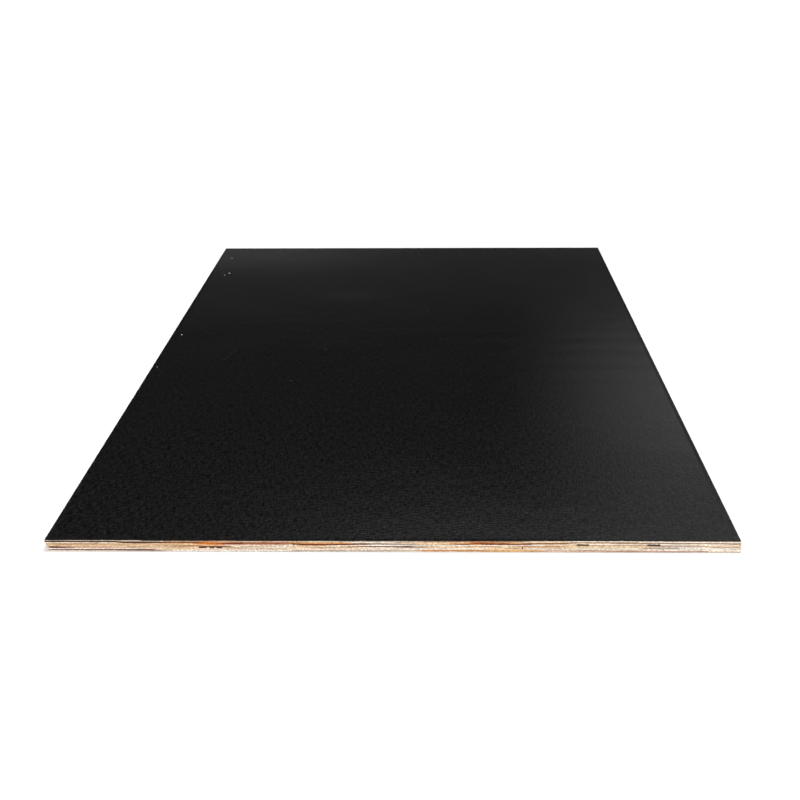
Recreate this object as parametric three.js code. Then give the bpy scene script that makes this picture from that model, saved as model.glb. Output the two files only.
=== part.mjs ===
// One sheet of film-faced plywood, lying flat.
// Millimetres. Width along X, length along Y, thickness up Z from the underside.
// The origin is the middle of the underside.

import * as THREE from 'three';

// The sheet
const sheetWidth = 1220;
const sheetLength = 2440;

// Its layers
const filmThickness = 0.25;
const faceVeneerThickness = 2.75;
const crossbandThickness = 3;
const longCoreThickness = 3;

// Pockets: places where a hidden ply has a knot hole or an open joint that the saw cut through.
// A pocket goes right through its own ply, and the plies above and below close it.
const knotDepth = 7;
const jointDepth = 60;

// Chips: places where the brittle film broke away at the sawn edge, and at its corners.
const chipDepth = 1.4;
const cornerWear = 2.5;

// The crushed corner: the front left corner is broken away from below, a little more in each lower layer.
const crushedHeight = 19;
const crushedDepth = 8;
const crushedRun = 150;

// How square each break is at its bottom: 0 is a sharp V, and 1 is nearly a box.
const knotSquareness = 0.82;
const jointSquareness = 1;
const chipSquareness = 0.5;

// Arcs and curves are cut into this many straight steps.
const curveSteps = 5;

// A break is a notch in one edge of a layer. "at" is its middle, as a share of the edge,
// counted anticlockwise seen from above. "span" is its length along the edge.
const knot = (at, span) => ({ at, span, depth: knotDepth, squareness: knotSquareness });
const joint = (at, span) => ({ at, span, depth: jointDepth, squareness: jointSquareness });
const chip = (at, span) => ({ at, span, depth: chipDepth, squareness: chipSquareness });

const finishes = {
  film: { color: 0x1b1b1d, roughness: 0.38, metalness: 0 },
  face: { color: 0xe2c3a0, roughness: 0.8, metalness: 0 },
  crossband: { color: 0xc79f72, roughness: 0.8, metalness: 0 },
  longCore: { color: 0xe9d0ae, roughness: 0.8, metalness: 0 },
};

// From the top down
const layers = [
  {
    name: 'film_top',
    kind: 'film',
    thickness: filmThickness,
    back: [chip(0.06, 6), chip(0.17, 9), chip(0.24, 5), chip(0.47, 7), chip(0.76, 8)],
    left: [chip(0.31, 6), chip(0.66, 5)],
    right: [chip(0.22, 5), chip(0.58, 7)],
    front: [chip(0.14, 4), chip(0.83, 5)],
  },
  {
    name: 'face_veneer_top',
    kind: 'face',
    thickness: faceVeneerThickness,
  },
  {
    name: 'crossband_upper',
    kind: 'crossband',
    thickness: crossbandThickness,
    right: [joint(0.29, 4), joint(0.71, 3)],
    left: [joint(0.29, 3), joint(0.71, 4)],
  },
  {
    name: 'long_core_upper',
    kind: 'longCore',
    thickness: longCoreThickness,
    front: [joint(0.36, 3), knot(0.775, 23), knot(0.876, 24)],
    right: [knot(0.44, 19)],
    back: [joint(0.64, 3), knot(0.2, 15)],
  },
  {
    name: 'crossband_centre',
    kind: 'crossband',
    thickness: crossbandThickness,
    right: [joint(0.38, 4)],
    back: [knot(0.55, 24)],
    left: [joint(0.62, 4), knot(0.12, 20)],
  },
  {
    name: 'long_core_lower',
    kind: 'longCore',
    thickness: longCoreThickness,
    front: [
      knot(0.0105, 9),
      knot(0.2287, 14),
      knot(0.2422, 9),
      knot(0.2529, 11),
      joint(0.6885, 3),
    ],
    back: [joint(0.43, 3)],
    left: [knot(0.8, 22)],
  },
  {
    name: 'crossband_lower',
    kind: 'crossband',
    thickness: crossbandThickness,
    right: [joint(0.55, 3), knot(0.83, 16)],
    left: [joint(0.45, 3)],
    back: [knot(0.86, 18)],
  },
  {
    name: 'face_veneer_bottom',
    kind: 'face',
    thickness: faceVeneerThickness,
  },
  {
    name: 'film_bottom',
    kind: 'film',
    thickness: filmThickness,
    back: [chip(0.33, 7), chip(0.69, 6)],
    front: [chip(0.28, 5), chip(0.72, 6)],
  },
];

// Each edge: where it starts, the way along it and the way into the sheet
const halfWidth = sheetWidth / 2;
const halfLength = sheetLength / 2;
const edges = [
  { side: 'front', start: [-halfWidth, -halfLength], along: [1, 0], inward: [0, 1], reach: sheetWidth },
  { side: 'right', start: [halfWidth, -halfLength], along: [0, 1], inward: [-1, 0], reach: sheetLength },
  { side: 'back', start: [halfWidth, halfLength], along: [-1, 0], inward: [0, -1], reach: sheetWidth },
  { side: 'left', start: [-halfWidth, halfLength], along: [0, -1], inward: [1, 0], reach: sheetLength },
];

// A point of an edge, some way along it and some way into the sheet
function edgePoint(edge, distance, into) {
  const x = edge.start[0] + edge.along[0] * distance + edge.inward[0] * into;
  const y = edge.start[1] + edge.along[1] * distance + edge.inward[1] * into;
  return new THREE.Vector2(x, y);
}

// A rounded notch: in at one end of its mouth, curving across its bottom, and out at the other.
function cutNotch(outline, edge, { at, span, depth, squareness }) {
  const middle = at * edge.reach;
  const half = span / 2;
  const mouth = edgePoint(edge, middle - half, 0);
  const deep = edgePoint(edge, middle, depth);
  const exit = edgePoint(edge, middle + half, 0);
  const bendIn = edgePoint(edge, middle - half * squareness, depth);
  const bendOut = edgePoint(edge, middle + half * squareness, depth);
  outline.lineTo(mouth.x, mouth.y);
  outline.quadraticCurveTo(bendIn.x, bendIn.y, deep.x, deep.y);
  outline.quadraticCurveTo(bendOut.x, bendOut.y, exit.x, exit.y);
}

// How much of the crushed corner's depth and run a layer has lost, from its middle height
function crushedShare(layer, height) {
  const middle = height + layer.thickness / 2;
  return Math.max(0, (crushedHeight - middle) / crushedHeight);
}

// The plan of a layer that starts at the given height: the sheet's rectangle with its notches,
// worn at the film's corners and broken away at the crushed one
function layerOutline(layer, height) {
  const outline = new THREE.Shape();
  const wear = layer.kind === 'film' ? cornerWear : 0;
  const share = crushedShare(layer, height);
  const brokenDepth = Math.max(wear, crushedDepth * share);
  const brokenRun = Math.max(wear, crushedRun * share);
  edges.forEach((edge, index) => {
    const isFirst = index === 0;
    const isLast = index === edges.length - 1;
    const first = edgePoint(edge, isFirst ? brokenDepth : wear, 0);
    const last = edgePoint(edge, edge.reach - (isLast ? brokenRun : wear), 0);
    if (isFirst) {
      outline.moveTo(first.x, first.y);
    } else {
      outline.lineTo(first.x, first.y);
    }
    const notches = [...(layer[edge.side] ?? [])].sort((a, b) => a.at - b.at);
    notches.forEach((notch) => cutNotch(outline, edge, notch));
    outline.lineTo(last.x, last.y);
  });
  if (share > 0) {
    const leftEdge = edges[edges.length - 1];
    const bend = edgePoint(leftEdge, leftEdge.reach - brokenRun / 2, brokenDepth);
    const start = edgePoint(edges[0], brokenDepth, 0);
    outline.quadraticCurveTo(bend.x, bend.y, start.x, start.y);
  }
  outline.closePath();
  return outline;
}

// The layers are laid face to face, from the underside up.
const sheet = new THREE.Group();
let height = 0;
for (const layer of [...layers].reverse()) {
  const geometry = new THREE.ExtrudeGeometry(layerOutline(layer, height), {
    depth: layer.thickness,
    bevelEnabled: false,
    curveSegments: curveSteps,
  });
  const mesh = new THREE.Mesh(geometry, new THREE.MeshStandardMaterial(finishes[layer.kind]));
  mesh.name = layer.name;
  mesh.position.z = height;
  sheet.add(mesh);
  height += layer.thickness;
}

export default sheet;
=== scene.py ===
import math
import random

import bmesh
import bpy
from mathutils import Matrix, Vector


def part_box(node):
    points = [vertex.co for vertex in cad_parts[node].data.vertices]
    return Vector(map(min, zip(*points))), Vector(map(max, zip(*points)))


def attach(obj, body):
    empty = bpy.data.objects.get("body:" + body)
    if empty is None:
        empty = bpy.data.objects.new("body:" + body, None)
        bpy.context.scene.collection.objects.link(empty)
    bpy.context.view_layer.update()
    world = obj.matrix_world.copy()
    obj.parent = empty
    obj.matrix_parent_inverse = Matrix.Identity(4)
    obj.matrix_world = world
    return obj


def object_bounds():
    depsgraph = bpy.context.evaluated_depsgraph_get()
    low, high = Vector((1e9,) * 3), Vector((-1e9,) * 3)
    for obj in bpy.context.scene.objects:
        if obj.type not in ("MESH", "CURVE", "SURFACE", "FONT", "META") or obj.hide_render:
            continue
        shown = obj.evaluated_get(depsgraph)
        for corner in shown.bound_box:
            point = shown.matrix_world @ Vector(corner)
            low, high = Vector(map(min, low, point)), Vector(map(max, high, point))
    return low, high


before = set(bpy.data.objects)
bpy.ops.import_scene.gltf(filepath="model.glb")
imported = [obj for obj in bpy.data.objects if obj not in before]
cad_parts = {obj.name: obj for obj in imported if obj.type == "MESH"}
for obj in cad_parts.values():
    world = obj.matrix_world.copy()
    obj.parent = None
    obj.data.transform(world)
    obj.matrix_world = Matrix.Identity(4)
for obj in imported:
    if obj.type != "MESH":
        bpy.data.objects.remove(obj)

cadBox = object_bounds()
halfWidth = cadBox[1].x
halfLength = cadBox[1].y
mm = 0.001
print("frame loaded:", len(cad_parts), "layers")

# The camera stands at the short front end and looks down along the sheet. Angles are in degrees.
cameraView = {
    "place": (0.0767, -3.6664, 1.0640),
    "lookDown": 17.775,
    "turnLeft": 1.383,
    "roll": -0.42,
    "lens": 68.17,
    "sensor": 36.0,
    "farthest": 400.0,
}


def makeCamera(view):
    data = bpy.data.cameras.new("viewCamera")
    data.lens = view["lens"]
    data.sensor_width = view["sensor"]
    data.clip_end = view["farthest"]
    camera = bpy.data.objects.new("viewCamera", data)
    bpy.context.scene.collection.objects.link(camera)
    turn = Matrix.Rotation(math.radians(view["turnLeft"]), 4, "Z")
    tilt = Matrix.Rotation(math.radians(90.0 - view["lookDown"]), 4, "X")
    roll = Matrix.Rotation(math.radians(view["roll"]), 4, "Z")
    camera.matrix_world = Matrix.Translation(view["place"]) @ turn @ tilt @ roll
    bpy.context.scene.camera = camera


makeCamera(cameraView)
print("camera placed")


# Short forms for building node trees
def feed(tree, socket, value):
    if isinstance(value, bpy.types.NodeSocket):
        tree.links.new(value, socket)
    else:
        socket.default_value = value


def node(tree, kind, inputs=None, **settings):
    made = tree.nodes.new(kind)
    for name, value in settings.items():
        setattr(made, name, value)
    for name, value in (inputs or {}).items():
        feed(tree, made.inputs[name], value)
    return made


def maths(tree, operation, a, b=0.0, c=0.0, clamp=False):
    made = node(tree, "ShaderNodeMath", {0: a, 1: b, 2: c}, operation=operation)
    made.use_clamp = clamp
    return made.outputs[0]


def product(tree, first, *factors):
    for factor in factors:
        first = maths(tree, "MULTIPLY", first, factor)
    return first


def vectors(tree, operation, a, b=(0.0, 0.0, 0.0), c=(0.0, 0.0, 0.0)):
    made = node(tree, "ShaderNodeVectorMath", {0: a, 1: b}, operation=operation)
    if operation == "MULTIPLY_ADD":
        feed(tree, made.inputs[2], c)
    return made.outputs["Value" if operation in ("LENGTH", "DOT_PRODUCT") else "Vector"]


def mixColours(tree, share, a, b, blend="MIX"):
    made = node(tree, "ShaderNodeMix", data_type="RGBA", blend_type=blend)
    feed(tree, made.inputs[0], share)
    feed(tree, made.inputs[6], a)
    feed(tree, made.inputs[7], b)
    return made.outputs[2]


def shadeColour(tree, colour, shade):
    return mixColours(tree, 1.0, colour, joinXyz(tree, shade, shade, shade), "MULTIPLY")


def mapRange(tree, value, low, high, toLow=0.0, toHigh=1.0, smooth=True):
    inputs = {"Value": value, "From Min": low, "From Max": high, "To Min": toLow, "To Max": toHigh}
    made = node(tree, "ShaderNodeMapRange", inputs)
    made.interpolation_type = "SMOOTHSTEP" if smooth else "LINEAR"
    return made.outputs[0]


def noise(tree, place, detail, roughness, output="Fac"):
    inputs = {"Vector": place, "Scale": 1.0, "Detail": detail, "Roughness": roughness}
    return node(tree, "ShaderNodeTexNoise", inputs).outputs[output]


# Noise from a pattern, which is a stretch, a detail and a roughness. Stretch is how many features a metre
# holds each way, so a small value lies along the fibres.
def patterned(tree, place, pattern, shift=(0.0, 0.0, 0.0), output="Fac"):
    stretch, detail, roughness = pattern
    return noise(tree, vectors(tree, "MULTIPLY_ADD", place, stretch, shift), detail, roughness, output)


def splitXyz(tree, vector):
    return node(tree, "ShaderNodeSeparateXYZ", {"Vector": vector}).outputs


def joinXyz(tree, x=0.0, y=0.0, z=0.0):
    return node(tree, "ShaderNodeCombineXYZ", {"X": x, "Y": y, "Z": z}).outputs[0]


def newMaterial(name):
    material = bpy.data.materials.new(name)
    material.use_nodes = True
    material.node_tree.nodes.clear()
    return material, material.node_tree


def objectPlace(tree):
    return node(tree, "ShaderNodeTexCoord").outputs["Object"]


# How far a point lies inside the nearest of the sheet's four sides
def insideSheet(tree, xyz):
    inX = maths(tree, "SUBTRACT", halfWidth, maths(tree, "ABSOLUTE", xyz["X"]))
    inY = maths(tree, "SUBTRACT", halfLength, maths(tree, "ABSOLUTE", xyz["Y"]))
    return maths(tree, "MINIMUM", inX, inY)


def newGroup(name, inputs, outputs):
    tree = bpy.data.node_groups.new(name, "ShaderNodeTree")
    for label, start in inputs.items():
        kind = "NodeSocketFloat" if isinstance(start, float) else "NodeSocketVector"
        socket = tree.interface.new_socket(name=label, in_out="INPUT", socket_type=kind)
        socket.default_value = start
    for label in outputs:
        tree.interface.new_socket(name=label, in_out="OUTPUT", socket_type="NodeSocketFloat")
    return tree, tree.nodes.new("NodeGroupInput").outputs, tree.nodes.new("NodeGroupOutput").inputs


def useGroup(tree, group, values):
    made = node(tree, "ShaderNodeGroup", node_tree=group)
    for name, value in values.items():
        feed(tree, made.inputs[name], value)
    return made.outputs


# A screen's tone, each part from 0 to 255, as the linear colour that a shader takes
def tone(red, green, blue):
    linear = [((level / 255.0 + 0.055) / 1.055) ** 2.4 for level in (red, green, blue)]
    return (*linear, 1.0)


# The eye sees a white floor and surround. Reflections see a dim sky that is pale low down, so that the
# glossy film stays black, with two soft glows, one high and one to the right, that give it its sheen.
stageLook = {
    "floorRadius": 60.0,
    "floorSides": 96,
    "floorGap": 0.0002,
    "floorDiffuse": 0.6,
    "nearGlow": 0.22,
    "farGlow": 1.05,
    "nearRadius": 1.3,
    "farRadius": 9.0,
    "skyLow": 0.40,
    "skyPale": 0.20,
    "skyDim": 0.010,
    "paleBelow": 0.158,
    "dimAbove": 0.194,
    "haze": 0.040,
    "hazeBelow": 0.275,
    "hazeSides": (-0.10, 0.06),
    "hazeLeft": 1.15,
    "hazeRight": 0.75,
    "highGlow": 0.9,
    "highGlowHeights": (0.345, 0.59),
    "highGlowSides": (-0.20, 0.03),
    "highGlowLeftShare": 0.12,
    "rightGlow": 0.255,
    "rightGlowHeights": (0.212, 0.300),
    "rightGlowFall": (0.318, 0.372),
    "rightGlowEnd": 0.36,
    "rightGlowSides": (0.04, 0.19),
}


# The floor glows white to the eye, less so close to the sheet, where its shadow lies. It is clear from
# below, so that the sheet's underside can be seen.
def floorMaterial(look):
    material, tree = newMaterial("paleFloor")
    path = node(tree, "ShaderNodeLightPath").outputs
    seen = maths(tree, "MAXIMUM", path["Is Camera Ray"], path["Is Glossy Ray"])
    seen = maths(tree, "MAXIMUM", seen, path["Is Transmission Ray"])
    diffuse = node(tree, "ShaderNodeBsdfDiffuse", {"Color": (*[look["floorDiffuse"]] * 3, 1.0)})
    away = vectors(tree, "LENGTH", objectPlace(tree))
    radii = (look["nearRadius"], look["farRadius"])
    level = mapRange(tree, away, *radii, look["nearGlow"], look["farGlow"], smooth=False)
    strength = maths(tree, "MULTIPLY", seen, level)
    glow = node(tree, "ShaderNodeEmission", {"Color": (1.0, 1.0, 1.0, 1.0), "Strength": strength})
    both = node(tree, "ShaderNodeAddShader", {0: diffuse.outputs[0], 1: glow.outputs[0]})
    fromBelow = node(tree, "ShaderNodeNewGeometry").outputs["Backfacing"]
    clear = node(tree, "ShaderNodeBsdfTransparent")
    oneSided = node(tree, "ShaderNodeMixShader", {0: fromBelow, 1: both.outputs[0], 2: clear.outputs[0]})
    node(tree, "ShaderNodeOutputMaterial", {"Surface": oneSided.outputs[0]})
    return material


def makeFloor(look):
    shape = bmesh.new()
    bmesh.ops.create_circle(shape, cap_ends=True, segments=look["floorSides"], radius=look["floorRadius"])
    mesh = bpy.data.meshes.new("studioFloor")
    shape.to_mesh(mesh)
    shape.free()
    floor = bpy.data.objects.new("studioFloor", mesh)
    floor.location.z = cadBox[0].z - look["floorGap"]
    bpy.context.scene.collection.objects.link(floor)
    mesh.materials.append(floorMaterial(look))


def makeSky(look):
    world = bpy.data.worlds.new("studioSky")
    bpy.context.scene.world = world
    world.use_nodes = True
    tree = world.node_tree
    tree.nodes.clear()
    direction = splitXyz(tree, node(tree, "ShaderNodeTexCoord").outputs["Generated"])
    side = direction["X"]
    height = direction["Z"]
    pale = mapRange(tree, height, 0.0, look["paleBelow"], look["skyLow"], look["skyPale"])
    hazeSide = mapRange(tree, side, *look["hazeSides"], look["hazeLeft"], look["hazeRight"])
    hazy = mapRange(tree, height, look["dimAbove"], look["hazeBelow"], look["haze"], 0.0)
    hazy = maths(tree, "MULTIPLY_ADD", hazy, hazeSide, look["skyDim"])
    base = mapRange(tree, height, look["paleBelow"], look["dimAbove"], pale, hazy)
    highRise = mapRange(tree, height, *look["highGlowHeights"], 0.0, look["highGlow"])
    highSide = mapRange(tree, side, *look["highGlowSides"], look["highGlowLeftShare"], 1.0)
    rightRise = mapRange(tree, height, *look["rightGlowHeights"], 0.0, look["rightGlow"])
    rightFall = mapRange(tree, height, *look["rightGlowFall"], 1.0, look["rightGlowEnd"])
    rightSide = maths(tree, "MULTIPLY", mapRange(tree, side, *look["rightGlowSides"]), rightFall)
    level = maths(tree, "MULTIPLY_ADD", highRise, highSide, base)
    level = maths(tree, "MULTIPLY_ADD", rightRise, rightSide, level)
    level = maths(tree, "MAXIMUM", level, node(tree, "ShaderNodeLightPath").outputs["Is Camera Ray"])
    background = node(tree, "ShaderNodeBackground", {"Color": level, "Strength": 1.0})
    node(tree, "ShaderNodeOutputWorld", {"Surface": background.outputs[0]})


makeFloor(stageLook)
makeSky(stageLook)

lamps = {
    "frontKey": {"place": (-1.2, -5.5, 4.2), "size": (3.0, 2.0), "power": 242.0},
    "overhead": {"place": (0.0, -0.5, 5.0), "size": (3.0, 3.0), "power": 150.0},
    "backFill": {"place": (1.5, 4.0, 7.5), "size": (3.0, 2.0), "power": 160.0},
}


def makeLamp(name, lamp):
    data = bpy.data.lights.new(name, "AREA")
    data.shape = "RECTANGLE"
    data.size, data.size_y = lamp["size"]
    data.energy = lamp["power"]
    light = bpy.data.objects.new(name, data)
    light.location = lamp["place"]
    light.rotation_euler = (-Vector(lamp["place"])).to_track_quat("-Z", "Y").to_euler()
    light.visible_glossy = False  # keeps the lamp's own shape out of the film
    bpy.context.scene.collection.objects.link(light)


for lampName, lampValues in lamps.items():
    makeLamp(lampName, lampValues)
print("floor, sky and lamps placed")


# Sawn wood: fine fibres, pores and growth rings. Fibres and pores give a detail and a roughness, as their
# stretch differs from ply to ply. Heights and spacings are in metres.
grainLook = {
    "fibres": (3.0, 0.6),
    "pores": (1.0, 0.5),
    "poreScale": 2.7,
    "poreRange": (0.62, 0.72),
    "fuzz": ((270.0, 270.0, 620.0), 2.0, 0.6),
    "streaks": ((26.0, 26.0, 620.0), 3.0, 0.6),
    "ringWaves": ((5.0, 5.0, 60.0), 2.0, 0.5),
    "ringSpacing": 0.0012,
    "ringWander": 7.0,
    "ringRange": (-0.6, 1.0),
    "fibreHeight": 0.00020,
    "poreHeight": -0.00012,
}


def sawnGrainGroup(look):
    inputs = {"Place": (0.0, 0.0, 0.0), "Stretch": (200.0, 200.0, 2000.0), "Seed": 0.0}
    outputs = ("Fibres", "Rings", "Pores", "Fuzz", "Streaks", "Height")
    tree, given, result = newGroup("sawnGrain", inputs, outputs)
    place = given["Place"]
    shift = joinXyz(tree, given["Seed"], given["Seed"], given["Seed"])
    along = vectors(tree, "MULTIPLY_ADD", place, given["Stretch"], shift)
    fibres = noise(tree, along, *look["fibres"])
    finer = vectors(tree, "SCALE", along)
    finer.node.inputs["Scale"].default_value = look["poreScale"]
    pores = mapRange(tree, noise(tree, finer, *look["pores"]), *look["poreRange"])
    fuzz = patterned(tree, place, look["fuzz"], shift)
    streaks = patterned(tree, place, look["streaks"], shift)
    waves = patterned(tree, place, look["ringWaves"], shift)
    rings = maths(tree, "DIVIDE", splitXyz(tree, place)["Z"], look["ringSpacing"])
    rings = maths(tree, "MULTIPLY_ADD", waves, look["ringWander"], rings)
    rings = maths(tree, "SINE", maths(tree, "MULTIPLY", rings, 2.0 * math.pi))
    rings = mapRange(tree, rings, *look["ringRange"])
    height = maths(tree, "MULTIPLY", fibres, look["fibreHeight"])
    height = maths(tree, "MULTIPLY_ADD", pores, look["poreHeight"], height)
    for label, value in zip(outputs, (fibres, rings, pores, fuzz, streaks, height)):
        feed(tree, result[label], value)
    return tree


# Marks of the saw, leaning a little and uneven, on all four edges
sawLook = {
    "spacing": 0.0016,
    "lean": 60.0,
    "changeUp": 25.0,
    "unevenness": (2.0, 0.7),  # detail and roughness
    "height": 0.00025,
}


def sawMarksGroup(look):
    tree, given, result = newGroup("sawMarks", {"Place": (0.0, 0.0, 0.0)}, ("Height", "Tone"))
    place = splitXyz(tree, given["Place"])
    along = maths(tree, "DIVIDE", maths(tree, "ADD", place["X"], place["Y"]), look["spacing"])
    along = maths(tree, "MULTIPLY_ADD", place["Z"], look["lean"], along)
    up = maths(tree, "MULTIPLY", place["Z"], look["changeUp"])
    marks = noise(tree, joinXyz(tree, along, up), *look["unevenness"])
    feed(tree, result["Height"], maths(tree, "MULTIPLY", marks, look["height"]))
    feed(tree, result["Tone"], marks)
    return tree


# The brown glue between two plies wanders a little and fades out in places. Front holds the strength of
# each glue line at the front edge, by its level in whole millimetres.
glueLook = {
    "colour": tone(80, 48, 34),
    "halfThickness": 0.00042,
    "softness": (0.6, 1.3),
    "shiftPerMetre": 7000.0,
    "wander": ((22.0, 22.0, 0.0), 3.0, 0.5),
    "wanderReach": 0.0006,
    "fading": ((9.0, 9.0, 0.0), 3.0, 0.6),
    "fade": 0.50,
    "fadeRange": (-0.08, 0.1),
    "faintest": 0.15,
    "strength": 0.85,
    "front": {3: 0.2, 6: 0.1, 9: 0.2, 12: 0.05, 15: 0.25, 18: 0.25},
}


def glueLineGroup(look):
    inputs = {"Place": (0.0, 0.0, 0.0), "Level": 0.0, "Half Thickness": 0.0004, "Fade": 0.5}
    tree, given, result = newGroup("glueLine", inputs, ("Mask",))
    height = splitXyz(tree, given["Place"])["Z"]
    levelShift = maths(tree, "MULTIPLY", given["Level"], look["shiftPerMetre"])
    shift = joinXyz(tree, levelShift, levelShift, levelShift)
    wander = patterned(tree, given["Place"], look["wander"], shift)
    wander = maths(tree, "MULTIPLY_ADD", wander, 2.0 * look["wanderReach"], -look["wanderReach"])
    away = maths(tree, "SUBTRACT", maths(tree, "ADD", height, wander), given["Level"])
    away = maths(tree, "DIVIDE", maths(tree, "ABSOLUTE", away), given["Half Thickness"])
    line = mapRange(tree, away, *look["softness"], 1.0, 0.0)
    strong = patterned(tree, given["Place"], look["fading"], shift)
    strong = maths(tree, "SUBTRACT", strong, given["Fade"])
    strong = mapRange(tree, strong, *look["fadeRange"], look["faintest"], 1.0)
    feed(tree, result["Mask"], maths(tree, "MULTIPLY", line, strong))
    return tree


# A long stain in a ply, from a start to an end along the front edge, with soft ends and borders.
# The soft border is given in half heights.
stainLook = {
    "softBorder": (0.8, 1.15),
}


def stainGroup(look):
    inputs = {"Place": (0.0, 0.0, 0.0), "Start X": 0.0, "Start Z": 0.0, "End X": 0.0, "End Z": 0.0,
              "Half Height": 0.001, "Soft End": 0.01}
    tree, given, result = newGroup("stain", inputs, ("Mask",))
    place = splitXyz(tree, given["Place"])
    fromStart = maths(tree, "SUBTRACT", place["X"], given["Start X"])
    toEnd = maths(tree, "SUBTRACT", given["End X"], place["X"])
    length = maths(tree, "SUBTRACT", given["End X"], given["Start X"])
    share = maths(tree, "DIVIDE", fromStart, length, clamp=True)
    rise = maths(tree, "SUBTRACT", given["End Z"], given["Start Z"])
    middle = maths(tree, "MULTIPLY_ADD", share, rise, given["Start Z"])
    away = maths(tree, "ABSOLUTE", maths(tree, "SUBTRACT", place["Z"], middle))
    away = maths(tree, "DIVIDE", away, given["Half Height"])
    mask = mapRange(tree, away, *look["softBorder"], 1.0, 0.0)
    for reach in (fromStart, toEnd):
        end = mapRange(tree, maths(tree, "DIVIDE", reach, given["Soft End"]), -1.0, 1.0)
        mask = maths(tree, "MULTIPLY", mask, end)
    feed(tree, result["Mask"], mask)
    return tree


sawnGrain = sawnGrainGroup(grainLook)
sawMarks = sawMarksGroup(sawLook)
glueLine = glueLineGroup(glueLook)
stain = stainGroup(stainLook)

woodTones = {
    "white": tone(255, 244, 230),
    "pearl": tone(242, 229, 214),
    "blush": tone(255, 228, 212),
    "cream": tone(244, 222, 198),
    "straw": tone(236, 204, 166),
    "corn": tone(250, 214, 166),
    "willow": tone(216, 210, 172),
    "peach": tone(246, 200, 154),
    "tan": tone(190, 154, 118),
    "rose": tone(200, 158, 136),
    "rosewood": tone(178, 112, 80),
    "gold": tone(226, 174, 110),
    "honey": tone(208, 144, 86),
    "amber": tone(206, 114, 44),
    "rust": tone(106, 50, 18),
    "brown": tone(62, 38, 24),
    "mauve": tone(100, 68, 62),
    "grey": tone(178, 160, 146),
    "shade": tone(132, 98, 70),
    "pitch": tone(24, 20, 18),
}

# What all plies share. Pairs that end in Over are a factor and an offset for a value of the grain.
# HeartStarts and frontEnds are measured from the front edge, in metres.
woodLook = {
    "fineAlong": 40.0,
    "fineAcross": 1400.0,
    "fineUp": 2600.0,
    "drift": ((7.0, 7.0, 120.0), 3.0, 0.55),
    "driftSoftness": 0.12,
    "heart": ((3.2, 3.2, 90.0), 4.0, 0.6),
    "heartShift": 9.0,
    "heartRange": (0.56, 0.68),
    "heartShare": 0.75,
    "heartStarts": (0.04, 0.08),
    "deepRange": (0.63, 0.72),
    "deepShare": 0.7,
    "frontEnds": (0.02, 0.06),
    "ringsOver": (-0.10, 1.05),
    "fibresOver": (0.34, 0.83),
    "poresOver": (-0.22, 1.0),
    "marksOver": (0.16, 0.92),
    "fuzzOver": (2.2, -0.10),
    "streakRange": (0.30, 0.70),
    "streakShades": (0.78, 1.16),
    "roughnessOver": (0.2, 0.62),
    "specular": 0.12,
    "bump": 0.6,
}

# Painted shade in holes and joints, darker with depth. The corner that is broken away keeps its bare wood
hollowShadeLook = {
    "strength": 0.9,
    "depths": (0.0002, 0.0012),
    "cornerX": (-0.6035, -0.6020),
    "cornerY": (-1.05, -1.03),
}

# HollowShade is the tone of the painted shade inside a ply's holes and joints.
plies = {
    "face_veneer_top": {"along": "y", "seed": 3.1, "base": "cream", "warm": "tan", "warmShare": 0.55},
    "crossband_upper": {"along": "x", "seed": 11.7, "base": "straw", "warm": "honey", "warmShare": 0.62},
    "long_core_upper": {"along": "y", "seed": 23.3, "base": "straw", "warm": "tan", "warmShare": 0.52,
                        "hollowShade": "rosewood"},
    "crossband_centre": {"along": "x", "seed": 37.9, "base": "straw", "warm": "tan", "warmShare": 0.6},
    "long_core_lower": {"along": "y", "seed": 52.3, "base": "cream", "warm": "straw", "warmShare": 0.45,
                        "hollowShade": "rust"},
    "crossband_lower": {"along": "x", "seed": 68.2, "base": "cream", "warm": "straw", "warmShare": 0.55},
    "face_veneer_bottom": {"along": "y", "seed": 81.6, "base": "cream", "warm": "tan", "warmShare": 0.55},
}

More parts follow.
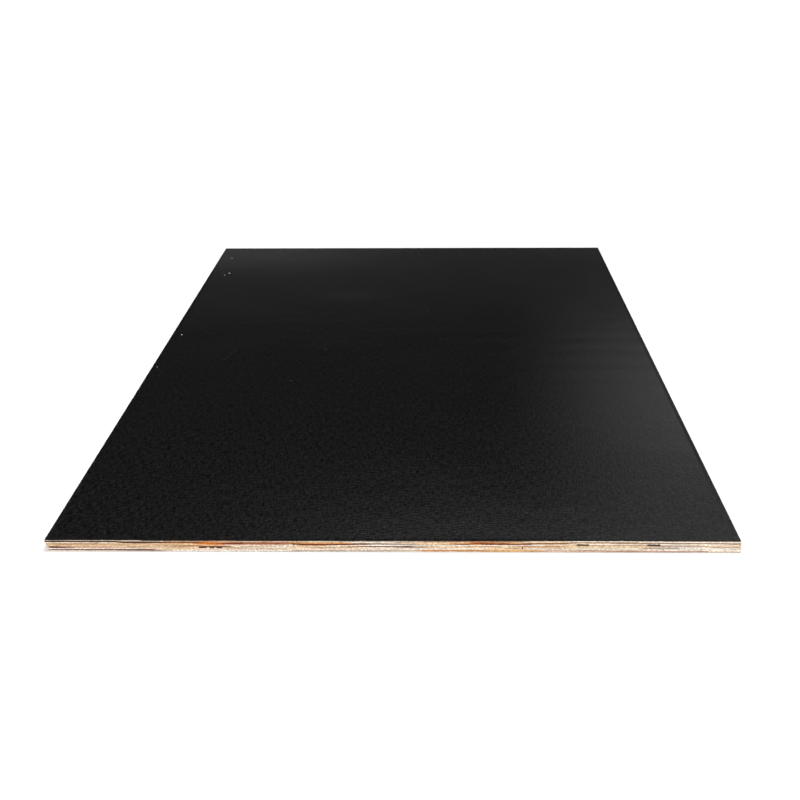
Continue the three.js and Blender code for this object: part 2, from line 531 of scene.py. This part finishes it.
# Stains of the front edge, from (x, z) to (x, z) in millimetres, with their half height, tone and strength
frontStains = {
    "softEnd": 0.010,
    "fray": (0.014, 0.0, 0.0006),
    "frayPattern": ((90.0, 90.0, 500.0), 3.0, 0.6),
    "list": [
        # Light wood
        (-615, 16.3, -490, 16.6, 1.1, "white", 0.9),
        (-80, 17.5, 5, 17.7, 1.1, "white", 1.0),
        (195, 18.2, 315, 18.4, 1.1, "corn", 0.9),
        (305, 20.3, 435, 20.6, 1.2, "white", 1.0),
        (445, 18.6, 615, 18.9, 1.1, "white", 0.9),
        (-405, 14.8, -335, 14.7, 1.2, "peach", 1.0),
        (-370, 13.0, -320, 13.1, 1.1, "corn", 1.0),
        (250, 14.5, 330, 14.6, 1.1, "cream", 0.9),
        (335, 14.7, 590, 15.2, 1.1, "white", 1.0),
        (-335, 11.2, -285, 11.3, 1.1, "peach", 1.0),
        (-195, 11.6, -165, 11.6, 1.0, "white", 1.0),
        (-105, 11.7, 40, 12.1, 1.1, "white", 1.0),
        (35, 11.9, 110, 12.2, 1.3, "pearl", 0.8),
        (110, 12.2, 265, 12.6, 1.2, "white", 1.0),
        (-290, 10.7, -180, 10.6, 1.8, "pearl", 0.9),
        (-185, 9.6, -90, 9.9, 1.0, "cream", 0.8),
        (-615, 4.8, -440, 5.2, 1.2, "white", 0.9),
        (-345, 5.5, -290, 5.6, 1.1, "blush", 0.8),
        (-265, 7.2, -180, 7.4, 1.1, "white", 0.6),
        (25, 6.0, 160, 6.3, 1.1, "white", 0.8),
        (320, 8.2, 435, 8.4, 1.3, "willow", 1.0),
        (225, 5.6, 475, 5.8, 1.8, "pearl", 0.8),
        (470, 7.5, 615, 7.3, 3.1, "pearl", 1.0),
        (165, 4.7, 235, 4.9, 1.1, "corn", 1.0),
        (450, 3.1, 615, 3.5, 1.1, "white", 0.9),
        (-390, 1.2, -175, 1.3, 1.8, "white", 0.8),
        (-180, -0.4, 50, -0.3, 1.1, "white", 1.0),
        (-180, 3.9, 55, 4.5, 1.1, "pearl", 0.7),
        # Tan and rosy wood
        (-615, 19.9, -405, 18.8, 1.0, "grey", 1.0),
        (-605, 13.4, -515, 13.8, 2.0, "tan", 1.0),
        (-515, 12.8, -370, 13.1, 1.2, "tan", 0.7),
        (-455, 14.8, -420, 14.8, 1.0, "tan", 0.8),
        (-585, 8.5, -480, 8.7, 1.0, "rose", 0.8),
        (-295, 16.4, -170, 16.9, 1.4, "rosewood", 1.0),
        (-295, 12.8, -180, 13.1, 1.1, "rose", 0.85),
        (-265, 9.5, -210, 9.6, 0.9, "tan", 0.7),
        (-295, 5.6, -175, 5.1, 1.3, "grey", 0.6),
        (0, 17.7, 40, 17.8, 1.1, "grey", 0.9),
        (30, 17.0, 145, 17.3, 1.8, "straw", 0.7),
        (310, 18.2, 430, 18.4, 1.2, "shade", 0.7),
        (345, 12.6, 440, 13.0, 1.1, "tan", 1.0),
        (470, 13.1, 530, 13.2, 1.1, "grey", 0.7),
        (450, 11.1, 560, 11.3, 1.1, "grey", 0.8),
        (545, 13.3, 615, 13.4, 1.1, "cream", 0.8),
        (-105, 19.4, 55, 19.6, 1.1, "grey", 0.9),
        (55, 19.6, 235, 20.0, 1.1, "shade", 0.9),
        (-405, 18.6, -310, 18.7, 1.1, "tan", 0.8),
        (-335, 18.7, -275, 18.8, 1.0, "rosewood", 0.6),
        (130, 10.2, 190, 10.5, 1.0, "tan", 0.7),
        (-160, 11.6, -110, 11.7, 1.0, "tan", 0.8),
        (-140, 7.8, -60, 8.0, 1.0, "tan", 0.8),
        (255, 2.5, 320, 2.4, 1.3, "rose", 0.6),
        (315, 2.4, 375, 2.6, 1.3, "rose", 1.0),
        (370, 1.4, 555, 1.7, 1.1, "rose", 1.0),
        # Orange heartwood
        (-345, 16.1, -295, 15.9, 1.6, "amber", 1.0),
        (-345, 14.5, -290, 14.0, 1.4, "amber", 0.8),
        (-180, 16.3, -70, 16.0, 1.7, "honey", 0.9),
        (100, 16.0, 145, 16.1, 1.1, "honey", 0.9),
        (135, 17.4, 180, 17.3, 1.8, "amber", 0.9),
        (175, 17.3, 215, 17.3, 1.4, "honey", 0.8),
        (195, 16.2, 230, 16.3, 1.1, "honey", 0.7),
        (130, 14.2, 170, 14.1, 1.1, "honey", 0.7),
        (50, 2.2, 170, 2.5, 1.3, "honey", 1.0),
        (165, 2.1, 265, 2.3, 1.4, "gold", 0.9),
        # Brown and rust lines
        (-625, 18.1, -475, 18.3, 1.3, "brown", 1.0),
        (-480, 16.7, -390, 16.6, 1.3, "brown", 1.0),
        (-400, 16.8, -335, 16.7, 1.3, "rust", 0.9),
        (-300, 15.0, -260, 15.2, 1.2, "rust", 1.0),
        (-265, 15.2, -190, 15.2, 1.2, "rust", 0.75),
        (-200, 15.2, -160, 15.2, 1.1, "rust", 0.5),
        (-170, 13.6, -70, 13.5, 1.3, "rust", 1.0),
        (-80, 13.7, -35, 13.6, 1.1, "rust", 0.8),
        (-70, 15.6, -10, 15.7, 1.1, "shade", 1.0),
        (-40, 14.7, 45, 14.0, 1.5, "grey", 1.0),
        (-375, 11.1, -335, 11.0, 1.1, "rust", 0.55),
        (-335, 9.2, -280, 9.1, 1.4, "rust", 0.75),
        (-470, 8.3, -345, 8.4, 1.8, "tan", 0.5),
        (-290, 7.4, -255, 7.3, 0.9, "tan", 0.9),
        (-80, 9.9, -45, 10.0, 1.0, "mauve", 0.55),
        (-55, 9.9, 40, 10.0, 1.1, "mauve", 1.0),
        (10, 8.2, 60, 8.3, 1.0, "mauve", 0.6),
        (140, 16.1, 205, 16.1, 1.1, "rust", 0.85),
        (116, 14.1, 135, 14.2, 1.0, "rust", 0.9),
        (162, 14.3, 245, 14.3, 1.2, "rust", 0.9),
        (230, 16.3, 315, 16.3, 1.2, "shade", 1.0),
        (380, 16.5, 440, 16.5, 1.1, "shade", 0.6),
        (435, 16.7, 595, 16.6, 1.0, "shade", 1.0),
        (580, 16.4, 615, 16.3, 1.3, "grey", 1.0),
        (225, 10.4, 295, 10.4, 1.1, "rosewood", 0.85),
        (210, 6.7, 225, 6.8, 1.1, "shade", 0.8),
        (435, 7.5, 500, 7.4, 1.2, "grey", 1.0),
        (560, 9.5, 615, 9.6, 1.1, "grey", 0.9),
        (-605, 8.3, -580, 8.0, 1.1, "rust", 0.9),
        (-600, 6.8, -555, 6.9, 1.1, "mauve", 1.0),
        (-565, 6.8, -445, 7.1, 0.9, "rose", 1.0),
        (-605, 2.9, -415, 3.4, 1.1, "mauve", 1.0),
        (-470, 1.1, -400, 1.2, 1.1, "grey", 0.9),
        (-175, 1.9, 50, 2.2, 1.1, "grey", 0.7),
        # Resin of the film smeared down by the saw
        (-440, 20.4, -270, 20.8, 0.85, "pitch", 1.0),
        (-280, 20.3, 265, 21.6, 0.8, "pitch", 1.0),
    ],
}


def stainsOf(low, high):
    found = []
    for each in frontStains["list"]:
        startZ, endZ, halfHeight = each[1] * mm, each[3] * mm, each[4] * mm
        reach = halfHeight + frontStains["fray"][2]
        if min(startZ, endZ) - reach < high and max(startZ, endZ) + reach > low:
            found.append(each)
    return found


# The tone of the wood drifts along the fibres, with darker heartwood away from the front edge
def woodColour(tree, place, look, notFront):
    seed = look["seed"]
    drift = patterned(tree, place, woodLook["drift"], (seed, seed, seed))
    soft = woodLook["driftSoftness"]
    warm = mapRange(tree, drift, look["warmShare"] - soft, look["warmShare"] + soft)
    colour = mixColours(tree, warm, woodTones[look["base"]], woodTones[look["warm"]])
    heart = patterned(tree, place, woodLook["heart"], (seed + woodLook["heartShift"], seed, seed))
    heart = product(tree, mapRange(tree, heart, *woodLook["heartRange"]), notFront, woodLook["heartShare"])
    colour = mixColours(tree, heart, colour, woodTones["honey"])
    deep = product(tree, mapRange(tree, drift, *woodLook["deepRange"]), notFront, woodLook["deepShare"])
    return mixColours(tree, deep, colour, woodTones["rust"])


# Stains keep to the front edge, and noise frays their borders
def stainedColour(tree, place, colour, front, seed, box):
    low, high = box
    fray = patterned(tree, place, frontStains["frayPattern"], (seed, seed, seed), "Color")
    span = [2.0 * reach for reach in frontStains["fray"]]
    start = [-reach for reach in frontStains["fray"]]
    frayed = vectors(tree, "ADD", place, vectors(tree, "MULTIPLY_ADD", fray, span, start))
    for startX, startZ, endX, endZ, halfHeight, toneName, strength in stainsOf(low.z, high.z):
        values = {"Place": frayed, "Start X": startX * mm, "Start Z": startZ * mm, "End X": endX * mm,
                  "End Z": endZ * mm, "Half Height": halfHeight * mm, "Soft End": frontStains["softEnd"]}
        mask = useGroup(tree, stain, values)["Mask"]
        mask = maths(tree, "MULTIPLY", mask, maths(tree, "MULTIPLY", front, strength))
        colour = mixColours(tree, mask, colour, woodTones[toneName])
    return colour


# Rings and fibres darken the wood a little, and pores more
def grainShade(tree, grain, marks):
    parts = ((grain["Rings"], "ringsOver"), (grain["Fibres"], "fibresOver"), (grain["Pores"], "poresOver"),
             (marks["Tone"], "marksOver"), (grain["Fuzz"], "fuzzOver"))
    shades = [maths(tree, "MULTIPLY_ADD", value, *woodLook[name]) for value, name in parts]
    streaks = mapRange(tree, grain["Streaks"], *woodLook["streakRange"], *woodLook["streakShades"])
    return product(tree, *shades, streaks)


# Glue lines along the two borders of a ply, with their own strengths at the front edge
def gluedColour(tree, place, colour, front, box):
    for corner in box:
        atFront = glueLook["front"].get(round(corner.z / mm))
        if atFront is None:
            continue
        values = {"Place": place, "Level": corner.z, "Half Thickness": glueLook["halfThickness"],
                  "Fade": glueLook["fade"]}
        elsewhere = glueLook["strength"]
        strength = maths(tree, "MULTIPLY_ADD", front, atFront - elsewhere, elsewhere)
        mask = maths(tree, "MULTIPLY", useGroup(tree, glueLine, values)["Mask"], strength)
        colour = mixColours(tree, mask, colour, glueLook["colour"])
    return colour


# Painted shade inside knot holes and open joints, darker deeper in, but not on the crushed corner
def hollowShadedColour(tree, xyz, colour, hollowShade):
    inside = mapRange(tree, insideSheet(tree, xyz), *hollowShadeLook["depths"])
    cornerX = mapRange(tree, xyz["X"], *hollowShadeLook["cornerX"], 1.0, 0.0)
    cornerY = mapRange(tree, xyz["Y"], *hollowShadeLook["cornerY"], 1.0, 0.0)
    notCorner = maths(tree, "SUBTRACT", 1.0, maths(tree, "MULTIPLY", cornerX, cornerY))
    inside = product(tree, inside, notCorner, hollowShadeLook["strength"])
    return mixColours(tree, inside, colour, woodTones[hollowShade])


# The wood of one ply: its tone and stains, then its grain, glue lines, painted shade in its hollows and
# relief
def plyMaterial(name, look):
    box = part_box(name)
    material, tree = newMaterial(name + "_wood")
    place = objectPlace(tree)
    xyz = splitXyz(tree, place)
    stretch = (woodLook["fineAlong"], woodLook["fineAcross"], woodLook["fineUp"])
    if look["along"] == "y":
        stretch = (woodLook["fineAcross"], woodLook["fineAlong"], woodLook["fineUp"])
    grain = useGroup(tree, sawnGrain, {"Place": place, "Stretch": stretch, "Seed": look["seed"]})
    marks = useGroup(tree, sawMarks, {"Place": place})
    heartStarts = [reach - halfLength for reach in woodLook["heartStarts"]]
    frontEnds = [reach - halfLength for reach in woodLook["frontEnds"]]
    front = mapRange(tree, xyz["Y"], *frontEnds, 1.0, 0.0)
    colour = woodColour(tree, place, look, mapRange(tree, xyz["Y"], *heartStarts))
    colour = stainedColour(tree, place, colour, front, look["seed"], box)
    colour = shadeColour(tree, colour, grainShade(tree, grain, marks))
    colour = gluedColour(tree, place, colour, front, box)
    # painted shade inside holes and joints
    colour = hollowShadedColour(tree, xyz, colour, look.get("hollowShade", "brown"))
    relief = maths(tree, "ADD", grain["Height"], marks["Height"])
    bump = node(tree, "ShaderNodeBump", {"Height": relief, "Distance": 1.0, "Strength": woodLook["bump"]})
    roughness = maths(tree, "MULTIPLY_ADD", grain["Fibres"], *woodLook["roughnessOver"])
    shader = node(tree, "ShaderNodeBsdfPrincipled", {
        "Base Color": colour, "Roughness": roughness, "Normal": bump.outputs[0],
        "Specular IOR Level": woodLook["specular"]})
    node(tree, "ShaderNodeOutputMaterial", {"Surface": shader.outputs[0]})
    return material


# The film: an embossed cross-hatch of fine lines that is fainter towards the far end, over the slow waves
# of the wood pressed under it, with a few ripples across its right half. Ranges that end in X or Y are
# places on the sheet, in metres.
weaveLook = {
    "across": ((105.0, 170.0, 1.0), 1.0, 0.5),
    "along": ((420.0, 36.0, 1.0), 1.0, 0.5),
    "alongShift": (5.0, 5.0, 5.0),
    "fainterY": (-1.20, -0.20),
    "fainterShares": (1.2, 0.5),
    "slow": ((4.0, 6.0, 1.0), 2.0, 0.5),
    "slowShift": (2.0, 7.0, 1.0),
    "calmY": (0.15, 0.60),
    "calmShare": 0.2,
    "rippleFrom": -0.080,
    "rippleSpacing": 0.12,
    "bend": ((1.5, 4.0, 1.0), 2.0, 0.5),
    "bendShare": 0.25,
    "rippleNearY": (-0.55, -0.40),
    "rippleFarY": (0.10, 0.22),
    "rippleInnerX": (0.0, 0.28),
    "rippleOuterX": (0.40, 0.58),
    "rippleOuterShare": 0.4,
}


def filmWeaveGroup(look):
    inputs = {"Place": (0.0, 0.0, 0.0), "Weave": 0.00003, "Waves": 0.0003, "Ripples": 0.0001}
    tree, given, result = newGroup("filmWeave", inputs, ("Height", "Grain"))
    place = given["Place"]
    xyz = splitXyz(tree, place)
    x, y = xyz["X"], xyz["Y"]
    across = patterned(tree, place, look["across"])
    along = patterned(tree, place, look["along"], look["alongShift"])
    grain = maths(tree, "SUBTRACT", maths(tree, "ADD", across, along), 1.0)
    fainter = mapRange(tree, y, *look["fainterY"], *look["fainterShares"], smooth=False)
    grain = maths(tree, "MULTIPLY", grain, fainter)
    slow = patterned(tree, place, look["slow"], look["slowShift"])
    slow = maths(tree, "MULTIPLY", slow, mapRange(tree, y, *look["calmY"], 1.0, look["calmShare"]))
    bend = patterned(tree, place, look["bend"])
    turns = maths(tree, "DIVIDE", maths(tree, "SUBTRACT", y, look["rippleFrom"]), look["rippleSpacing"])
    turns = maths(tree, "MULTIPLY_ADD", bend, look["bendShare"], turns)
    ripples = maths(tree, "SINE", maths(tree, "MULTIPLY", turns, 2.0 * math.pi))
    near = mapRange(tree, y, *look["rippleNearY"])
    far = mapRange(tree, y, *look["rippleFarY"], 1.0, 0.0)
    inner = mapRange(tree, x, *look["rippleInnerX"])
    outer = mapRange(tree, x, *look["rippleOuterX"], 1.0, look["rippleOuterShare"])
    ripples = product(tree, ripples, near, far, inner, outer)
    height = maths(tree, "MULTIPLY", grain, given["Weave"])
    height = maths(tree, "MULTIPLY_ADD", slow, given["Waves"], height)
    height = maths(tree, "MULTIPLY_ADD", ripples, given["Ripples"], height)
    feed(tree, result["Height"], height)
    feed(tree, result["Grain"], grain)
    return tree


# A fine scratch from one point of the film to another, broken in places and thin at its tips
scratchLook = {
    "startTip": (0.0, 0.15),
    "endTip": (0.8, 1.0),
    "softBorder": (0.5, 1.2),
    "breaks": ((160.0, 160.0, 1.0), 2.0, 0.5),
    "breakRange": (0.40, 0.55),
}


def scratchGroup(look):
    inputs = {"Place": (0.0, 0.0, 0.0), "Start": (0.0, 0.0, 0.0), "End": (0.1, 0.0, 0.0),
              "Half Width": 0.0008}
    tree, given, result = newGroup("scratch", inputs, ("Mask",))
    span = vectors(tree, "SUBTRACT", given["End"], given["Start"])
    flat = vectors(tree, "MULTIPLY", given["Place"], (1.0, 1.0, 0.0))
    fromStart = vectors(tree, "SUBTRACT", flat, given["Start"])
    covered = vectors(tree, "DOT_PRODUCT", fromStart, span)
    share = maths(tree, "DIVIDE", covered, vectors(tree, "DOT_PRODUCT", span, span))
    startTip = mapRange(tree, share, *look["startTip"])
    endTip = mapRange(tree, share, *look["endTip"], 1.0, 0.0)
    nearest = vectors(tree, "MULTIPLY", span, joinXyz(tree, share, share, share))
    away = vectors(tree, "LENGTH", vectors(tree, "SUBTRACT", fromStart, nearest))
    away = maths(tree, "DIVIDE", away, given["Half Width"])
    line = mapRange(tree, away, *look["softBorder"], 1.0, 0.0)
    breaks = mapRange(tree, patterned(tree, given["Place"], look["breaks"]), *look["breakRange"])
    feed(tree, result["Mask"], product(tree, line, startTip, endTip, breaks))
    return tree


# A pale patch on the film, thickest at its centre and thinning unevenly: dust, and on the top film also
# painted sheen
dustAndSheenPatchLook = {
    "patches": ((9.0, 6.0, 1.0), 4.0, 0.6),
    "patchRange": (0.25, 0.75),
    "thinnest": 0.6,
}


def dustAndSheenPatchGroup(look):
    inputs = {"Place": (0.0, 0.0, 0.0), "Centre": (0.0, 0.0, 0.0), "Reach": (0.3, 0.3, 1.0)}
    tree, given, result = newGroup("haze", inputs, ("Mask",))
    away = vectors(tree, "SUBTRACT", given["Place"], given["Centre"])
    away = vectors(tree, "DIVIDE", away, given["Reach"])
    away = vectors(tree, "LENGTH", vectors(tree, "MULTIPLY", away, (1.0, 1.0, 0.0)))
    mask = mapRange(tree, away, 0.0, 1.0, 1.0, 0.0)
    patches = patterned(tree, given["Place"], look["patches"])
    patches = mapRange(tree, patches, *look["patchRange"], look["thinnest"], 1.0)
    feed(tree, result["Mask"], maths(tree, "MULTIPLY", mask, patches))
    return tree


filmWeave = filmWeaveGroup(weaveLook)
scratch = scratchGroup(scratchLook)
haze = dustAndSheenPatchGroup(dustAndSheenPatchLook)

# What both films share. Weave, waves, ripples and bead are heights, in metres.
filmLook = {
    "dustAndSheenTint": (1.0, 0.97, 0.93),
    "grain": 3.2,  # how much the weave lightens and darkens the film
    "darkestGrain": 0.1,
    "weave": 0.00018,
    "waves": 0.0007,
    "ripples": 0.00014,
    "bead": 0.00045,
    "beadReach": (0.001, 0.009),
    # The rim is painted shade: a darker border that stands in for the darker reflection of the film's
    # rolled edge.
    "paintedRimShadeColour": (0.0015, 0.0015, 0.0015, 1.0),
    "paintedRimShadeReach": (0.0005, 0.003),
    "paintedRimShadeShare": 0.5,
    "smudges": ((5.0, 4.0, 1.0), 5.0, 0.6),
    "smudgeRange": (0.3, 0.7),
    "smudgeRoughness": (-0.01, 0.02),
}

# Pale patches of dust and painted sheen are a centre, a reach and an amount; scratches are a start, an end,
# a half width and an amount
films = {
    "film_top": {
        "colour": 0.0056,
        "dustAndSheenGrey": 0.045,
        "roughness": 0.075,
        # The wide patch toward the far-left corner is partly dust and partly painted sheen, a brighter
        # reflection painted into the colour.
        "dustAndSheenPatches": [((-0.52, 1.18), (0.60, 0.42), 0.5), ((-0.15, 0.57), (0.14, 0.10), 0.10)],
        "scratches": [
            ((-0.424, 0.010), (-0.447, -0.110), 0.0012, 0.35),
            ((-0.60, -0.15), (-0.56, -0.24), 0.0010, 0.3),
            ((0.06, 0.40), (0.04, 0.36), 0.0010, 0.3),
        ],
    },
    "film_bottom": {
        "colour": 0.0060,
        "dustAndSheenGrey": 0.05,
        "roughness": 0.13,
        "dustAndSheenPatches": [((0.2, -0.6), (0.7, 0.9), 0.35), ((-0.4, 0.7), (0.5, 0.7), 0.3)],
        "scratches": [
            ((-0.3, -0.9), (0.1, -0.4), 0.0012, 0.5),
            ((0.25, 0.2), (0.32, 0.9), 0.0011, 0.4),
            ((-0.5, 0.1), (-0.2, 0.25), 0.0011, 0.4),
        ],
    },
}


# Patches of dust and painted sheen and the scratches add up to one mask
def dustSheenAndScratchMask(tree, place, look):
    dustSheenAndScratches = 0.0
    for centre, reach, amount in look["dustAndSheenPatches"]:
        values = {"Place": place, "Centre": (*centre, 0.0), "Reach": (*reach, 1.0)}
        dustSheenAndScratches = maths(tree, "MULTIPLY_ADD", useGroup(tree, haze, values)["Mask"], amount, dustSheenAndScratches)
    for start, end, halfWidthOfLine, amount in look["scratches"]:
        values = {"Place": place, "Start": (*start, 0.0), "End": (*end, 0.0), "Half Width": halfWidthOfLine}
        dustSheenAndScratches = maths(tree, "MULTIPLY_ADD", useGroup(tree, scratch, values)["Mask"], amount, dustSheenAndScratches)
    return maths(tree, "MINIMUM", dustSheenAndScratches, 1.0)


# The black film, with dust and painted sheen, its weave, a rim of painted shade and a raised bead along its
# border
def filmMaterial(name, look):
    material, tree = newMaterial(name + "_resin")
    place = objectPlace(tree)
    inside = insideSheet(tree, splitXyz(tree, place))
    weave = useGroup(tree, filmWeave, {"Place": place, "Weave": filmLook["weave"],
                                       "Waves": filmLook["waves"], "Ripples": filmLook["ripples"]})
    black = (*[look["colour"]] * 3, 1.0)
    grey = (*[look["dustAndSheenGrey"] * share for share in filmLook["dustAndSheenTint"]], 1.0)
    # dust, and on the top film painted sheen, lighten the black
    colour = mixColours(tree, dustSheenAndScratchMask(tree, place, look), black, grey)
    grain = maths(tree, "MULTIPLY_ADD", weave["Grain"], filmLook["grain"], 1.0)
    colour = shadeColour(tree, colour, maths(tree, "MAXIMUM", grain, filmLook["darkestGrain"]))
    # Painted shade: the film is darkened within a few millimetres of its border.
    paintedRimShade = mapRange(tree, inside, *filmLook["paintedRimShadeReach"], filmLook["paintedRimShadeShare"], 0.0)
    colour = mixColours(tree, paintedRimShade, colour, filmLook["paintedRimShadeColour"])
    smudges = patterned(tree, place, filmLook["smudges"])
    roughnesses = [look["roughness"] + change for change in filmLook["smudgeRoughness"]]
    roughness = mapRange(tree, smudges, *filmLook["smudgeRange"], *roughnesses)
    bead = mapRange(tree, inside, *filmLook["beadReach"], filmLook["bead"], 0.0)
    relief = maths(tree, "ADD", weave["Height"], bead)
    bump = node(tree, "ShaderNodeBump", {"Height": relief, "Distance": 1.0, "Strength": 1.0})
    shader = node(tree, "ShaderNodeBsdfPrincipled", {
        "Base Color": colour, "Roughness": roughness, "Normal": bump.outputs[0]})
    node(tree, "ShaderNodeOutputMaterial", {"Surface": shader.outputs[0]})
    return material


def dress(layers, makeMaterial):
    for name, look in layers.items():
        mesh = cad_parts[name].data
        mesh.materials.clear()
        mesh.materials.append(makeMaterial(name, look))


dress(plies, plyMaterial)
print("plies finished:", len(plies))
dress(films, filmMaterial)
print("films finished:", len(films))

# Crumbs of sawdust that lie stuck on the film, as (x, y) in metres and a size in millimetres
flecks = {
    "seed": 5,
    "placed": [
        (-0.563, 0.832, 5.8), (-0.553, 0.857, 7.2), (-0.572, 1.074, 6.2), (-0.585, 0.145, 5.2),
        (-0.597, -0.151, 3.2), (-0.578, -0.221, 1.4), (-0.416, -0.150, 1.6), (-0.388, -0.201, 1.2),
        (-0.200, 0.003, 2.4), (-0.261, -0.262, 2.0), (-0.049, 0.542, 2.5), (0.059, 0.392, 2.4),
        (-0.583, -1.060, 1.1), (-0.369, -0.673, 0.8), (-0.449, -1.174, 1.0), (-0.426, 0.005, 1.0),
        (0.199, 0.576, 1.0), (0.412, 0.538, 1.2),
    ],
    "scattered": 40,
    "scatteredSize": (0.3, 0.7),
    "scatteredX": (-0.59, 0.59),
    "scatteredY": (-1.19, 1.19),
    "uneven": (0.75, 1.15),
    "wide": (0.8, 1.25),
    "deep": (0.7, 1.1),
    "proud": 0.00022,
    "colour": tone(212, 207, 198),
    "shadow": tone(168, 162, 152),
    "spots": ((900.0, 900.0, 900.0), 2.0, 0.5),
    "spotRange": (0.35, 0.65),
    "roughness": 0.9,
}


def fleckMaterial(look):
    material, tree = newMaterial("drySawdust")
    spots = patterned(tree, objectPlace(tree), look["spots"])
    colour = mixColours(tree, mapRange(tree, spots, *look["spotRange"]), look["colour"], look["shadow"])
    shader = node(tree, "ShaderNodeBsdfPrincipled", {"Base Color": colour, "Roughness": look["roughness"]})
    node(tree, "ShaderNodeOutputMaterial", {"Surface": shader.outputs[0]})
    return material


def makeFlecks(look):
    chance = random.Random(look["seed"])
    places = list(look["placed"])
    for _ in range(look["scattered"]):
        size = chance.uniform(*look["scatteredSize"])
        places.append((chance.uniform(*look["scatteredX"]), chance.uniform(*look["scatteredY"]), size))
    shape = bmesh.new()
    for x, y, size in places:
        made = bmesh.ops.create_icosphere(shape, subdivisions=1, radius=0.5)
        for point in made["verts"]:
            point.co *= chance.uniform(*look["uneven"])
        wide = size * mm * chance.uniform(*look["wide"])
        deep = size * mm * chance.uniform(*look["deep"])
        turn = Matrix.Rotation(chance.uniform(0.0, math.pi), 4, "Z")
        sized = turn @ Matrix.Diagonal((wide, deep, 2.0 * look["proud"], 1.0))
        onFilm = Matrix.Translation((x, y, cadBox[1].z)) @ sized
        bmesh.ops.transform(shape, matrix=onFilm, verts=made["verts"])
    bmesh.ops.recalc_face_normals(shape, faces=shape.faces)
    mesh = bpy.data.meshes.new("sawdust_flecks")
    shape.to_mesh(mesh)
    shape.free()
    piece = bpy.data.objects.new("sawdust_flecks", mesh)
    bpy.context.scene.collection.objects.link(piece)
    mesh.materials.append(fleckMaterial(look))
    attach(piece, "root")
    return len(places)


print("sawdust flecks:", makeFlecks(flecks))

bpy.context.scene.view_settings.view_transform = "Standard"
